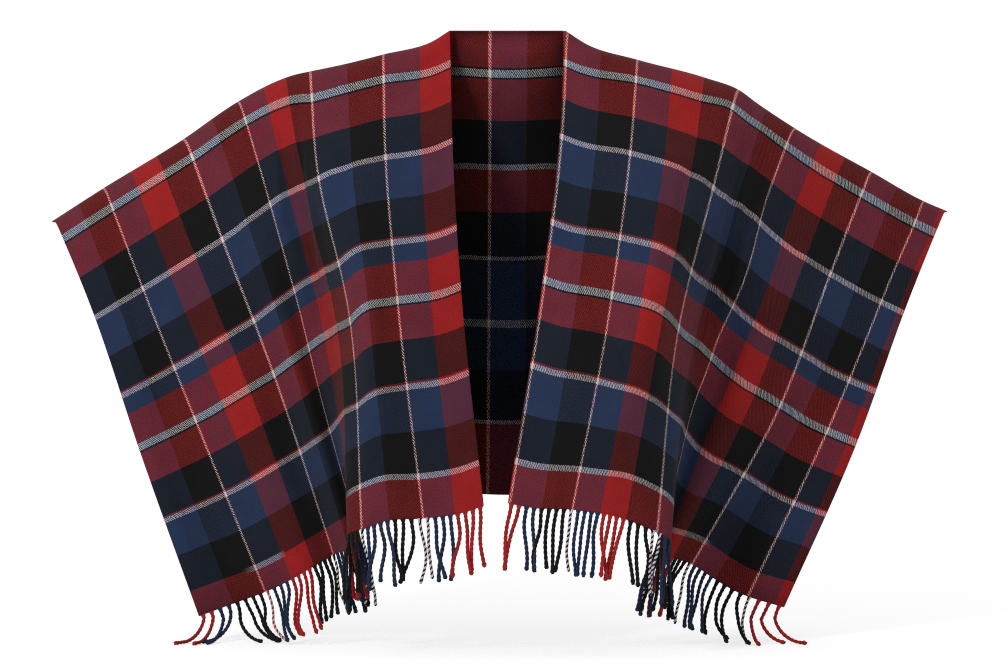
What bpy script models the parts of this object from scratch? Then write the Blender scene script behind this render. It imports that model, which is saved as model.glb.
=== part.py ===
"""Open-front plaid cape, worn form, hollow. Metres, +Z up, front -Y, +X to the right seen from the front.

The origin is the middle of the back neck edge, where the wearer's shoulders carry the cloth.
Each panel hangs from one crest line, the seam along shoulders and arms. A panel is described by a few
warp lines, the threads that run from seam to hem: where each leaves the crest, how it rolls over the arm,
and where it passes the chest, the waist and the hem. Its height follows from its length.
"""

import math
from collections import namedtuple

import bmesh
import bpy
import numpy as np

CLOTH = 0.002
SEAM_GAP = 0.0003
CHEST = 0.172
WAIST = 0.376
FRINGE_REACH = 0.088
FRINGE_THICKNESS = 0.0045
FRINGE_GAP = 0.0006
FRINGE_PLUMB = 0.7
FLOOR = -0.85
LEFT_SLIDE = -0.35
RIGHT_SLIDE = 0.15
LAST_PART = 0.01
FRONT_COLUMNS = 30
NECK_COLUMNS = 6
FRONT_ROWS = 16
BACK_ROWS = 13
FRINGE_ROWS = 3
ROW_CROWDING = 1.7
STEPS = 240
SETTLE = 0.02
ABOVE_SEAM = -1.0
CHEST_PART = 0.26
WAIST_PART = 0.56
WOOL_ROUGHNESS = 0.9
FRONT_COLOUR = (0.14, 0.03, 0.04)
BACK_COLOUR = (0.08, 0.018, 0.03)
FRINGE_COLOUR = (0.11, 0.03, 0.05)

Crest = namedtuple("Crest", "across x y z roll")
Hang = namedtuple("Hang", "chest_x chest_y waist_x waist_y hem_x hem_y length")
Fold = namedtuple("Fold", "across half_width chest waist hem")

# The seam over the left and right arm, from the neck corner outwards. `across` is measured along the
# weft from the neck corner, and `roll` is the radius with which the cloth turns over the arm.
LEFT_CREST = (
    Crest(0.0000, -0.0745, 0.000, 0.000, 0.008),
    Crest(0.0270, -0.098, 0.001, -0.0148, 0.016),
    Crest(0.0985, -0.167, 0.004, -0.033, 0.030),
    Crest(0.1500, -0.218, 0.012, -0.045, 0.034),
    Crest(0.2014, -0.269, 0.020, -0.055, 0.032),
    Crest(0.2260, -0.286, 0.026, -0.058, 0.034),
    Crest(0.3530, -0.374, 0.060, -0.095, 0.040),
    Crest(0.4559, -0.454, 0.090, -0.146, 0.040),
    Crest(0.6075, -0.572, 0.130, -0.213, 0.036),
    Crest(0.7077, -0.646, 0.150, -0.258, 0.036),
)
RIGHT_CREST = (
    Crest(0.0000, 0.0842, 0.000, 0.000, 0.008),
    Crest(0.0340, 0.114, 0.002, -0.0190, 0.022),
    Crest(0.1057, 0.184, 0.005, -0.040, 0.045),
    Crest(0.2058, 0.278, 0.015, -0.064, 0.052),
    Crest(0.2573, 0.326, 0.020, -0.081, 0.055),
    Crest(0.2850, 0.348, 0.028, -0.096, 0.050),
    Crest(0.3602, 0.408, 0.050, -0.133, 0.036),
    Crest(0.5118, 0.521, 0.100, -0.191, 0.030),
    Crest(0.6147, 0.597, 0.130, -0.230, 0.030),
    Crest(0.6605, 0.632, 0.140, -0.244, 0.028),
)

# Where each warp line of a front passes, a row for each crest row. The sixth row is the edge of the deep
# fold at the body's side, behind which the cloth falls back to the arm's plane.
LEFT_FRONT = (
    Hang(-0.070, -0.065, -0.058, -0.100, -0.027, -0.135, 0.671),
    Hang(-0.094, -0.068, -0.081, -0.108, -0.049, -0.138, 0.668),
    Hang(-0.161, -0.075, -0.143, -0.125, -0.108, -0.145, 0.668),
    Hang(-0.207, -0.078, -0.182, -0.140, -0.153, -0.155, 0.668),
    Hang(-0.253, -0.065, -0.208, -0.105, -0.189, -0.150, 0.668),
    Hang(-0.264, -0.048, -0.217, -0.082, -0.203, -0.140, 0.668),
    Hang(-0.324, -0.005, -0.270, 0.000, -0.196, -0.030, 0.666),
    Hang(-0.394, 0.035, -0.321, 0.030, -0.236, 0.020, 0.643),
    Hang(-0.510, 0.085, -0.434, 0.080, -0.334, 0.060, 0.637),
    Hang(-0.579, 0.100, -0.514, 0.100, -0.429, 0.080, 0.622),
)
RIGHT_FRONT = (
    Hang(0.075, -0.065, 0.051, -0.100, 0.005, -0.135, 0.671),
    Hang(0.105, -0.073, 0.080, -0.112, 0.033, -0.139, 0.665),
    Hang(0.170, -0.090, 0.143, -0.135, 0.091, -0.145, 0.662),
    Hang(0.254, -0.085, 0.213, -0.145, 0.162, -0.155, 0.662),
    Hang(0.285, -0.065, 0.235, -0.100, 0.203, -0.150, 0.658),
    Hang(0.303, -0.052, 0.248, -0.070, 0.220, -0.140, 0.655),
    Hang(0.347, -0.010, 0.282, 0.000, 0.206, -0.032, 0.645),
    Hang(0.457, 0.055, 0.384, 0.050, 0.260, 0.020, 0.628),
    Hang(0.532, 0.085, 0.453, 0.080, 0.340, 0.055, 0.632),
    Hang(0.566, 0.095, 0.496, 0.090, 0.393, 0.070, 0.626),
)
LEFT_BACK = (
    Hang(-0.075, 0.055, -0.076, 0.095, -0.078, 0.115, 0.658),
    Hang(-0.099, 0.061, -0.099, 0.100, -0.099, 0.119, 0.658),
    Hang(-0.166, 0.075, -0.163, 0.115, -0.155, 0.130, 0.660),
    Hang(-0.213, 0.085, -0.203, 0.125, -0.187, 0.140, 0.662),
    Hang(-0.258, 0.092, -0.240, 0.132, -0.214, 0.147, 0.661),
    Hang(-0.272, 0.096, -0.251, 0.134, -0.223, 0.150, 0.663),
    Hang(-0.345, 0.115, -0.305, 0.145, -0.266, 0.160, 0.655),
    Hang(-0.410, 0.145, -0.360, 0.162, -0.305, 0.168, 0.640),
    Hang(-0.518, 0.178, -0.445, 0.185, -0.370, 0.178, 0.628),
    Hang(-0.583, 0.195, -0.508, 0.196, -0.415, 0.184, 0.620),
)
RIGHT_BACK = (
    Hang(0.084, 0.055, 0.083, 0.095, 0.082, 0.115, 0.658),
    Hang(0.115, 0.063, 0.113, 0.102, 0.108, 0.120, 0.658),
    Hang(0.182, 0.078, 0.176, 0.115, 0.163, 0.130, 0.660),
    Hang(0.266, 0.090, 0.243, 0.128, 0.212, 0.142, 0.662),
    Hang(0.310, 0.098, 0.276, 0.134, 0.235, 0.148, 0.661),
    Hang(0.327, 0.102, 0.289, 0.138, 0.246, 0.151, 0.661),
    Hang(0.370, 0.112, 0.322, 0.146, 0.272, 0.160, 0.655),
    Hang(0.465, 0.145, 0.395, 0.168, 0.325, 0.172, 0.640),
    Hang(0.535, 0.172, 0.455, 0.180, 0.368, 0.176, 0.628),
    Hang(0.567, 0.178, 0.487, 0.182, 0.386, 0.178, 0.620),
)

# Soft folds, as outward swells (plus) and hollows (minus) of the depth given at chest, waist and hem.
LEFT_FRONT_FOLDS = (
    Fold(0.295, 0.050, -0.008, -0.008, -0.002),
    Fold(0.402, 0.055, 0.006, 0.016, 0.020),
    Fold(0.530, 0.080, 0.005, 0.012, 0.016),
    Fold(0.650, 0.055, 0.002, -0.008, -0.012),
)
RIGHT_FRONT_FOLDS = (
    Fold(0.145, 0.060, 0.004, 0.008, 0.010),
    Fold(0.322, 0.046, -0.010, -0.010, 0.000),
    Fold(0.430, 0.070, 0.006, 0.016, 0.020),
    Fold(0.560, 0.060, 0.003, -0.010, -0.014),
)
LEFT_BACK_FOLDS = (
    Fold(0.150, 0.070, 0.010, 0.026, 0.038),
    Fold(0.245, 0.065, -0.010, -0.024, -0.034),
    Fold(0.345, 0.070, 0.012, 0.030, 0.040),
    Fold(0.440, 0.065, -0.008, -0.022, -0.032),
    Fold(0.540, 0.070, 0.010, 0.026, 0.036),
    Fold(0.635, 0.060, -0.006, -0.018, -0.028),
)
RIGHT_BACK_FOLDS = (
    Fold(0.135, 0.065, 0.008, 0.024, 0.036),
    Fold(0.228, 0.062, -0.010, -0.026, -0.036),
    Fold(0.322, 0.068, 0.012, 0.028, 0.038),
    Fold(0.415, 0.062, -0.008, -0.024, -0.034),
    Fold(0.510, 0.066, 0.010, 0.028, 0.036),
    Fold(0.600, 0.055, -0.004, -0.014, -0.022),
)


def through(knots, values, at):
    """A smooth curve through the values, with three-point slopes at the knots."""
    knots, values, at = (np.asarray(item, float) for item in (knots, values, at))
    spans = np.diff(knots)
    chords = (np.diff(values, axis=0).T / spans).T
    slopes = np.empty_like(values)
    slopes[0], slopes[-1] = chords[0], chords[-1]
    weights = spans[:-1] / (spans[:-1] + spans[1:])
    slopes[1:-1] = ((1 - weights) * chords[:-1].T + weights * chords[1:].T).T
    index = np.clip(np.searchsorted(knots, at, side="right") - 1, 0, len(spans) - 1)
    step = spans[index]
    along = (at - knots[index]) / step
    square, cube = along**2, along**3
    terms = (
        (2 * cube - 3 * square + 1, values[index]),
        ((cube - 2 * square + along) * step, slopes[index]),
        (3 * square - 2 * cube, values[index + 1]),
        ((cube - square) * step, slopes[index + 1]),
    )
    return sum((weight * value.T).T for weight, value in terms)


def warp_line(crest, hang, side, rows):
    """One warp line as shifts from its crest point. side is -1 for a front and +1 for the back."""
    down = np.linspace(0, hang.length, STEPS + 1)
    levels = (0, CHEST, WAIST, hang.length)
    x = through(levels, (crest.x, hang.chest_x, hang.waist_x, hang.hem_x), down)
    turned = np.minimum(down / crest.roll, math.pi / 2)
    rolled = crest.y + side * crest.roll
    drift = [level - rolled for level in (hang.chest_y, hang.waist_y, hang.hem_y)]
    start = crest.roll * math.pi / 2
    levels = (ABOVE_SEAM, 0, start, max(CHEST, start + SETTLE), WAIST, hang.length)
    y = side * crest.roll * np.sin(turned) + through(levels, (0, 0, 0, *drift), down)
    fall = 1 - np.gradient(x, down) ** 2 - np.gradient(y, down) ** 2
    steps = np.sqrt(np.clip(fall, 0.0, 1)) * hang.length / STEPS
    z = -np.concatenate([[0], np.cumsum((steps[1:] + steps[:-1]) / 2)])
    shifts = np.stack([x - crest.x, y, z], axis=1)
    return through(down, shifts, rows * hang.length)


def swell(folds, side, across, rows):
    """How far the soft folds move the cloth, at each column and row."""
    levels = (ABOVE_SEAM, 0, CHEST_PART, WAIST_PART, 1)
    moved = np.zeros((len(across), len(rows)))
    for fold in folds:
        reach = np.clip(np.abs(across - fold.across) / fold.half_width, 0, 1)
        bump = np.cos(reach * math.pi / 2) ** 2
        depth = through(levels, (0, 0, fold.chest, fold.waist, fold.hem), rows)
        moved += np.outer(bump, side * depth)
    return moved


def crest_line(crests, across):
    return through([row.across for row in crests], [row[1:4] for row in crests], across)


def front_points(crests, hangs, folds, across, rows):
    """The front panel's middle surface as columns of points."""
    lines = np.stack([warp_line(*pair, -1, rows) for pair in zip(crests, hangs)])
    shifts = through([row.across for row in crests], lines, across)
    shifts[:, :, 1] += swell(folds, -1, across, rows)
    shifts[:, :, 1] -= SEAM_GAP / 2
    return crest_line(crests, across)[:, None] + shifts


def back_points(across, rows):
    """The back panel's middle surface. `across` runs from the far left to the far right, 0 between."""
    neck = RIGHT_CREST[0].x - LEFT_CREST[0].x
    places, lines = [], []
    for crest, hang in list(zip(LEFT_CREST, LEFT_BACK))[::-1]:
        places.append(-neck / 2 - crest.across)
        lines.append(warp_line(crest, hang, 1, rows))
    for crest, hang in zip(RIGHT_CREST, RIGHT_BACK):
        places.append(neck / 2 + crest.across)
        lines.append(warp_line(crest, hang, 1, rows))
    shifts = through(places, np.stack(lines), across)
    beyond = np.abs(across) - neck / 2
    left = crest_line(LEFT_CREST, np.maximum(beyond, 0))
    right = crest_line(RIGHT_CREST, np.maximum(beyond, 0))
    between = np.clip(across / neck + 0.5, 0, 1)[:, None]
    crest = np.where(beyond[:, None] < 0, left * (1 - between) + right * between, 0)
    crest += np.where(beyond[:, None] >= 0, np.where(across[:, None] < 0, left, right), 0)
    for folds, outer in ((LEFT_BACK_FOLDS, across < 0), (RIGHT_BACK_FOLDS, across >= 0)):
        shifts[:, :, 1] += swell(folds, 1, beyond, rows) * outer[:, None]
    shifts[:, :, 1] += SEAM_GAP / 2
    return crest[:, None] + shifts


def fringe_points(hem, along, slide):
    """The fringe's space: down from the hem, at most to the floor, on which its ends slide outwards."""
    drop = np.minimum(FRINGE_REACH, hem[:, 2] - FLOOR)
    spare = np.sqrt(FRINGE_REACH**2 - drop**2)
    points = []
    for part in np.linspace(0, 1, FRINGE_ROWS + 1):
        lean = along * (1 - FRINGE_PLUMB * part) + np.array((0, 0, -FRINGE_PLUMB * part))
        reach = lean * part * drop[:, None]
        reach[:, 0] += slide * spare * part**2
        points.append(hem + along * FRINGE_GAP + reach)
    return np.stack(points, axis=1)


def outward(points, starts, ends):
    """The direction square to the cloth. starts and ends are how its threads leave the top and hem."""
    across, down = np.gradient(points, axis=0), np.gradient(points, axis=1)
    down[:, 0] = starts
    if ends is not None:
        down[:, -1] = ends
    normals = np.cross(across, down)
    return normals / np.linalg.norm(normals, axis=2)[:, :, None]


def wool(name, colour):
    material = bpy.data.materials.new("wool of " + name)
    material.use_nodes = True
    shader = material.node_tree.nodes["Principled BSDF"]
    shader.inputs["Base Color"].default_value = (*colour, 1)
    shader.inputs["Roughness"].default_value = WOOL_ROUGHNESS
    shader.inputs["Metallic"].default_value = 0
    return material


def cloth_object(name, points, thickness, colour, starts, ends=None):
    """A closed wall of even thickness about a grid of points, given as columns from left to right."""
    normals = outward(points, starts, ends)
    shape = bmesh.new()
    sheets = []
    for offset in (thickness / 2, -thickness / 2):
        sheets.append([[shape.verts.new(point) for point in column] for column in points + normals * offset])
    far, near = sheets
    columns, rows = len(points), len(points[0])
    for i, j in ((i, j) for i in range(columns - 1) for j in range(rows - 1)):
        for sheet, turn in ((far, 1), (near, -1)):
            corners = [sheet[i][j], sheet[i + 1][j], sheet[i + 1][j + 1], sheet[i][j + 1]]
            shape.faces.new(corners[::turn]).smooth = True
    for i in range(columns - 1):
        shape.faces.new([near[i][0], near[i + 1][0], far[i + 1][0], far[i][0]])
        shape.faces.new([far[i][-1], far[i + 1][-1], near[i + 1][-1], near[i][-1]])
    for j in range(rows - 1):
        shape.faces.new([far[0][j], far[0][j + 1], near[0][j + 1], near[0][j]])
        shape.faces.new([near[-1][j], near[-1][j + 1], far[-1][j + 1], far[-1][j]])
    bmesh.ops.recalc_face_normals(shape, faces=shape.faces)
    mesh = bpy.data.meshes.new(name)
    shape.to_mesh(mesh)
    shape.free()
    mesh.materials.append(wool(name, colour))
    bpy.context.collection.objects.link(bpy.data.objects.new(name, mesh))


def row_places(count):
    return np.linspace(0, 1, count + 1) ** ROW_CROWDING


def panel_columns(crests):
    return np.linspace(0, crests[-1].across, FRONT_COLUMNS + 1)


def make_front(side, crests, hangs, folds, slide):
    across = panel_columns(crests)
    if crests[-1].x < 0:
        across = across[::-1]
    points = front_points(crests, hangs, folds, across, row_places(FRONT_ROWS))
    hem = front_points(crests, hangs, folds, across, np.array((1 - LAST_PART, 1.0)))
    along = hem[:, 1] - hem[:, 0]
    along /= np.linalg.norm(along, axis=1)[:, None]
    cloth_object("front_" + side, points, CLOTH, FRONT_COLOUR, (0, -1, 0), along)
    reach = fringe_points(hem[:, 1], along, slide)
    cloth_object("fringe_" + side, reach, FRINGE_THICKNESS, FRINGE_COLOUR, along)


def make_back():
    neck = RIGHT_CREST[0].x - LEFT_CREST[0].x
    left = -neck / 2 - panel_columns(LEFT_CREST)[::-1]
    right = neck / 2 + panel_columns(RIGHT_CREST)
    between = np.linspace(-neck / 2, neck / 2, NECK_COLUMNS + 1)[1:-1]
    across = np.concatenate([left, between, right])
    cloth_object("back", back_points(across, row_places(BACK_ROWS)), CLOTH, BACK_COLOUR, (0, 1, 0))


def main():
    for item in list(bpy.data.objects):
        bpy.data.objects.remove(item)
    make_front("left", LEFT_CREST, LEFT_FRONT, LEFT_FRONT_FOLDS, LEFT_SLIDE)
    make_front("right", RIGHT_CREST, RIGHT_FRONT, RIGHT_FRONT_FOLDS, RIGHT_SLIDE)
    make_back()


main()
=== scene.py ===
"""The looks of an open-front plaid cape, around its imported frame. Metres, +Z up, front to -Y.

Each panel of cloth takes the form of the frame's wall from the same rows, made finer and given its
soft creases. The weave is a chart of warp and weft stripes, read in metres of flat cloth, and the
fringe is made of two-ply strands, one by one.
"""

import math
import random
from collections import namedtuple

import bmesh
import bpy
import numpy as np
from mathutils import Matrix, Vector


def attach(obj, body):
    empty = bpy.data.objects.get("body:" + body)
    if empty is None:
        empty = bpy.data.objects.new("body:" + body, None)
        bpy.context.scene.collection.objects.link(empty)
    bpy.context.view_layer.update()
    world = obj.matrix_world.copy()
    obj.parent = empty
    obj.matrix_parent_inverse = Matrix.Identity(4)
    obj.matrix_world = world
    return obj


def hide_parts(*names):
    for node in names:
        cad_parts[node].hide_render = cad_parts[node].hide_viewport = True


bl_info = {
    "name": "Plaid Cape",
    "version": (1, 0, 0),
    "blender": (4, 5, 0),
    "location": "View3D > Sidebar > Cape",
    "description": "Builds a fringed plaid cape in worn form",
    "category": "Add Mesh",
}

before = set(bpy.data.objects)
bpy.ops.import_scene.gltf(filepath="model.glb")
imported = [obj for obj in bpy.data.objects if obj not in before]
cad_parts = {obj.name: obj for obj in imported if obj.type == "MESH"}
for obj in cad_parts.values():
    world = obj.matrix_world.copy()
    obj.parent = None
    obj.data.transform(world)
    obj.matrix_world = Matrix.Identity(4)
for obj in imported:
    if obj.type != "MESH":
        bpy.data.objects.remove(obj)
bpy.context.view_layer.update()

# The form of the frame's cloth, in the same rows.
SEAM_GAP = 0.0003
CHEST = 0.172
WAIST = 0.376
STEPS = 240
SETTLE = 0.02
ABOVE_SEAM = -1.0
CHEST_PART = 0.26
WAIST_PART = 0.56
FLOOR = -0.85

Crest = namedtuple("Crest", "across x y z roll")
Hang = namedtuple("Hang", "chest_x chest_y waist_x waist_y hem_x hem_y length")
Fold = namedtuple("Fold", "across half_width chest waist hem")

LEFT_CREST = (
    Crest(0.0000, -0.0745, 0.000, 0.000, 0.008),
    Crest(0.0270, -0.098, 0.001, -0.0148, 0.016),
    Crest(0.0985, -0.167, 0.004, -0.033, 0.030),
    Crest(0.1500, -0.218, 0.012, -0.045, 0.034),
    Crest(0.2014, -0.269, 0.020, -0.055, 0.032),
    Crest(0.2260, -0.286, 0.026, -0.058, 0.034),
    Crest(0.3530, -0.374, 0.060, -0.095, 0.040),
    Crest(0.4559, -0.454, 0.090, -0.146, 0.040),
    Crest(0.6075, -0.572, 0.130, -0.213, 0.036),
    Crest(0.7077, -0.646, 0.150, -0.258, 0.036),
)
RIGHT_CREST = (
    Crest(0.0000, 0.0842, 0.000, 0.000, 0.008),
    Crest(0.0340, 0.114, 0.002, -0.0190, 0.022),
    Crest(0.1057, 0.184, 0.005, -0.040, 0.045),
    Crest(0.2058, 0.278, 0.015, -0.064, 0.052),
    Crest(0.2573, 0.326, 0.020, -0.081, 0.055),
    Crest(0.2850, 0.348, 0.028, -0.096, 0.050),
    Crest(0.3602, 0.408, 0.050, -0.133, 0.036),
    Crest(0.5118, 0.521, 0.100, -0.191, 0.030),
    Crest(0.6147, 0.597, 0.130, -0.230, 0.030),
    Crest(0.6605, 0.632, 0.140, -0.244, 0.028),
)
LEFT_FRONT = (
    Hang(-0.070, -0.065, -0.058, -0.100, -0.027, -0.135, 0.671),
    Hang(-0.094, -0.068, -0.081, -0.108, -0.049, -0.138, 0.668),
    Hang(-0.161, -0.075, -0.143, -0.125, -0.108, -0.145, 0.668),
    Hang(-0.207, -0.078, -0.182, -0.140, -0.153, -0.155, 0.668),
    Hang(-0.253, -0.065, -0.208, -0.105, -0.189, -0.150, 0.668),
    Hang(-0.264, -0.048, -0.217, -0.082, -0.203, -0.140, 0.668),
    Hang(-0.324, -0.005, -0.270, 0.000, -0.196, -0.030, 0.666),
    Hang(-0.394, 0.035, -0.321, 0.030, -0.236, 0.020, 0.643),
    Hang(-0.510, 0.085, -0.434, 0.080, -0.334, 0.060, 0.637),
    Hang(-0.579, 0.100, -0.514, 0.100, -0.429, 0.080, 0.622),
)
RIGHT_FRONT = (
    Hang(0.075, -0.065, 0.051, -0.100, 0.005, -0.135, 0.671),
    Hang(0.105, -0.073, 0.080, -0.112, 0.033, -0.139, 0.665),
    Hang(0.170, -0.090, 0.143, -0.135, 0.091, -0.145, 0.662),
    Hang(0.254, -0.085, 0.213, -0.145, 0.162, -0.155, 0.662),
    Hang(0.285, -0.065, 0.235, -0.100, 0.203, -0.150, 0.658),
    Hang(0.303, -0.052, 0.248, -0.070, 0.220, -0.140, 0.655),
    Hang(0.347, -0.010, 0.282, 0.000, 0.206, -0.032, 0.645),
    Hang(0.457, 0.055, 0.384, 0.050, 0.260, 0.020, 0.628),
    Hang(0.532, 0.085, 0.453, 0.080, 0.340, 0.055, 0.632),
    Hang(0.566, 0.095, 0.496, 0.090, 0.393, 0.070, 0.626),
)
LEFT_BACK = (
    Hang(-0.075, 0.055, -0.076, 0.095, -0.078, 0.115, 0.658),
    Hang(-0.099, 0.061, -0.099, 0.100, -0.099, 0.119, 0.658),
    Hang(-0.166, 0.075, -0.163, 0.115, -0.155, 0.130, 0.660),
    Hang(-0.213, 0.085, -0.203, 0.125, -0.187, 0.140, 0.662),
    Hang(-0.258, 0.092, -0.240, 0.132, -0.214, 0.147, 0.661),
    Hang(-0.272, 0.096, -0.251, 0.134, -0.223, 0.150, 0.663),
    Hang(-0.345, 0.115, -0.305, 0.145, -0.266, 0.160, 0.655),
    Hang(-0.410, 0.145, -0.360, 0.162, -0.305, 0.168, 0.640),
    Hang(-0.518, 0.178, -0.445, 0.185, -0.370, 0.178, 0.628),
    Hang(-0.583, 0.195, -0.508, 0.196, -0.415, 0.184, 0.620),
)
RIGHT_BACK = (
    Hang(0.084, 0.055, 0.083, 0.095, 0.082, 0.115, 0.658),
    Hang(0.115, 0.063, 0.113, 0.102, 0.108, 0.120, 0.658),
    Hang(0.182, 0.078, 0.176, 0.115, 0.163, 0.130, 0.660),
    Hang(0.266, 0.090, 0.243, 0.128, 0.212, 0.142, 0.662),
    Hang(0.310, 0.098, 0.276, 0.134, 0.235, 0.148, 0.661),
    Hang(0.327, 0.102, 0.289, 0.138, 0.246, 0.151, 0.661),
    Hang(0.370, 0.112, 0.322, 0.146, 0.272, 0.160, 0.655),
    Hang(0.465, 0.145, 0.395, 0.168, 0.325, 0.172, 0.640),
    Hang(0.535, 0.172, 0.455, 0.180, 0.368, 0.176, 0.628),
    Hang(0.567, 0.178, 0.487, 0.182, 0.386, 0.178, 0.620),
)
LEFT_FRONT_FOLDS = (
    Fold(0.295, 0.050, -0.008, -0.008, -0.002),
    Fold(0.402, 0.055, 0.006, 0.016, 0.020),
    Fold(0.530, 0.080, 0.005, 0.012, 0.016),
    Fold(0.650, 0.055, 0.002, -0.008, -0.012),
)
RIGHT_FRONT_FOLDS = (
    Fold(0.145, 0.060, 0.004, 0.008, 0.010),
    Fold(0.322, 0.046, -0.010, -0.010, 0.000),
    Fold(0.430, 0.070, 0.006, 0.016, 0.020),
    Fold(0.560, 0.060, 0.003, -0.010, -0.014),
)
LEFT_BACK_FOLDS = (
    Fold(0.150, 0.070, 0.010, 0.026, 0.038),
    Fold(0.245, 0.065, -0.010, -0.024, -0.034),
    Fold(0.345, 0.070, 0.012, 0.030, 0.040),
    Fold(0.440, 0.065, -0.008, -0.022, -0.032),
    Fold(0.540, 0.070, 0.010, 0.026, 0.036),
    Fold(0.635, 0.060, -0.006, -0.018, -0.028),
)
RIGHT_BACK_FOLDS = (
    Fold(0.135, 0.065, 0.008, 0.024, 0.036),
    Fold(0.228, 0.062, -0.010, -0.026, -0.036),
    Fold(0.322, 0.068, 0.012, 0.028, 0.038),
    Fold(0.415, 0.062, -0.008, -0.024, -0.034),
    Fold(0.510, 0.066, 0.010, 0.028, 0.036),
    Fold(0.600, 0.055, -0.004, -0.014, -0.022),
)

# How the weave lies on each front: where the hem falls on the flat cloth, and how far the weft
# bands sag.
Weft = namedtuple("Weft", "across hem sag")
LEFT_WEFT = (
    Weft(0.0000, 0.678, 0.000),
    Weft(0.0985, 0.676, 0.001),
    Weft(0.2014, 0.673, 0.012),
    Weft(0.2500, 0.671, 0.005),
    Weft(0.3200, 0.667, 0.004),
    Weft(0.3800, 0.663, 0.007),
    Weft(0.4559, 0.654, 0.008),
    Weft(0.6075, 0.654, 0.008),
    Weft(0.7077, 0.654, 0.011),
)
RIGHT_WEFT = (
    Weft(0.0000, 0.680, -0.007),
    Weft(0.0700, 0.677, -0.003),
    Weft(0.1400, 0.673, 0.004),
    Weft(0.2058, 0.673, 0.010),
    Weft(0.2700, 0.673, 0.010),
    Weft(0.3220, 0.669, -0.003),
    Weft(0.3700, 0.665, -0.002),
    Weft(0.4400, 0.658, 0.007),
    Weft(0.5118, 0.654, 0.010),
    Weft(0.6147, 0.654, 0.009),
    Weft(0.6605, 0.654, 0.012),
)
SAG_PLACES = (0, 0.08, 0.26, 0.73, 0.92, 1)
SAG_SHARES = (0, 0.3, 1, 1, -0.4, -0.4)

# Soft creases, given one by one. `across` and `down` are a crease's middle on the flat cloth, `run`
# is how far it moves across for each metre down, `reach` half its length, and `rise` its height,
# minus for a trough.
Crease = namedtuple("Crease", "across down run reach half_width rise")
LEFT_CREASES = (
    Crease(0.060, 0.30, 0.10, 0.30, 0.030, 0.0020),
    Crease(0.120, 0.42, -0.06, 0.22, 0.026, -0.0025),
    Crease(0.165, 0.20, 0.20, 0.16, 0.022, -0.0022),
    Crease(0.262, 0.20, 0.25, 0.20, 0.020, -0.0045),
    Crease(0.310, 0.12, 0.30, 0.12, 0.018, 0.0020),
    Crease(0.430, 0.20, 0.10, 0.16, 0.022, -0.0025),
    Crease(0.480, 0.48, -0.05, 0.16, 0.024, -0.0025),
    Crease(0.580, 0.36, 0.06, 0.24, 0.026, -0.0030),
    Crease(0.660, 0.22, 0.12, 0.18, 0.020, 0.0022),
    Crease(0.690, 0.50, 0.00, 0.14, 0.016, 0.0020),
)
RIGHT_CREASES = (
    Crease(0.050, 0.34, 0.04, 0.26, 0.028, 0.0022),
    Crease(0.100, 0.46, 0.05, 0.20, 0.024, -0.0022),
    Crease(0.200, 0.22, -0.10, 0.18, 0.024, -0.0028),
    Crease(0.308, 0.24, 0.08, 0.24, 0.020, -0.0055),
    Crease(0.352, 0.20, 0.05, 0.16, 0.016, 0.0050),
    Crease(0.400, 0.36, -0.05, 0.18, 0.022, -0.0025),
    Crease(0.470, 0.24, 0.08, 0.20, 0.024, 0.0025),
    Crease(0.500, 0.50, 0.00, 0.14, 0.022, -0.0025),
    Crease(0.590, 0.30, 0.05, 0.22, 0.020, 0.0022),
    Crease(0.640, 0.48, 0.02, 0.16, 0.014, -0.0022),
)
BACK_CREASES = (
    Crease(-0.700, 0.40, 0.04, 0.18, 0.022, 0.0022),
    Crease(-0.610, 0.24, 0.10, 0.18, 0.024, -0.0026),
    Crease(-0.520, 0.46, -0.06, 0.16, 0.022, 0.0022),
    Crease(-0.430, 0.22, 0.14, 0.16, 0.022, -0.0030),
    Crease(-0.350, 0.16, 0.25, 0.13, 0.018, 0.0024),
    Crease(-0.270, 0.40, 0.05, 0.20, 0.026, -0.0024),
    Crease(-0.190, 0.20, -0.12, 0.16, 0.022, 0.0022),
    Crease(-0.110, 0.34, 0.08, 0.22, 0.028, -0.0024),
    Crease(-0.020, 0.44, -0.04, 0.20, 0.030, 0.0020),
    Crease(0.070, 0.26, 0.06, 0.20, 0.026, -0.0022),
    Crease(0.160, 0.42, -0.08, 0.18, 0.024, 0.0024),
    Crease(0.250, 0.18, -0.20, 0.15, 0.020, -0.0030),
    Crease(0.340, 0.32, -0.06, 0.20, 0.024, 0.0022),
    Crease(0.420, 0.14, -0.22, 0.12, 0.018, -0.0024),
    Crease(0.480, 0.46, 0.05, 0.16, 0.022, -0.0024),
    Crease(0.570, 0.28, -0.10, 0.18, 0.024, 0.0024),
    Crease(0.660, 0.44, 0.02, 0.18, 0.020, -0.0022),
)

# Where the warp lies aside of its column, because the cloth is pulled askew.
Sway = namedtuple("Sway", "across down half_width reach shift")
LEFT_SWAYS = (Sway(0.353, 0.46, 0.100, 0.16, 0.006),)
RIGHT_SWAYS = (
    Sway(0.360, 0.25, 0.100, 0.12, 0.013),
    Sway(0.360, 0.48, 0.090, 0.10, -0.011),
    Sway(0.640, 0.05, 0.120, 0.10, 0.004),
)

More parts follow.
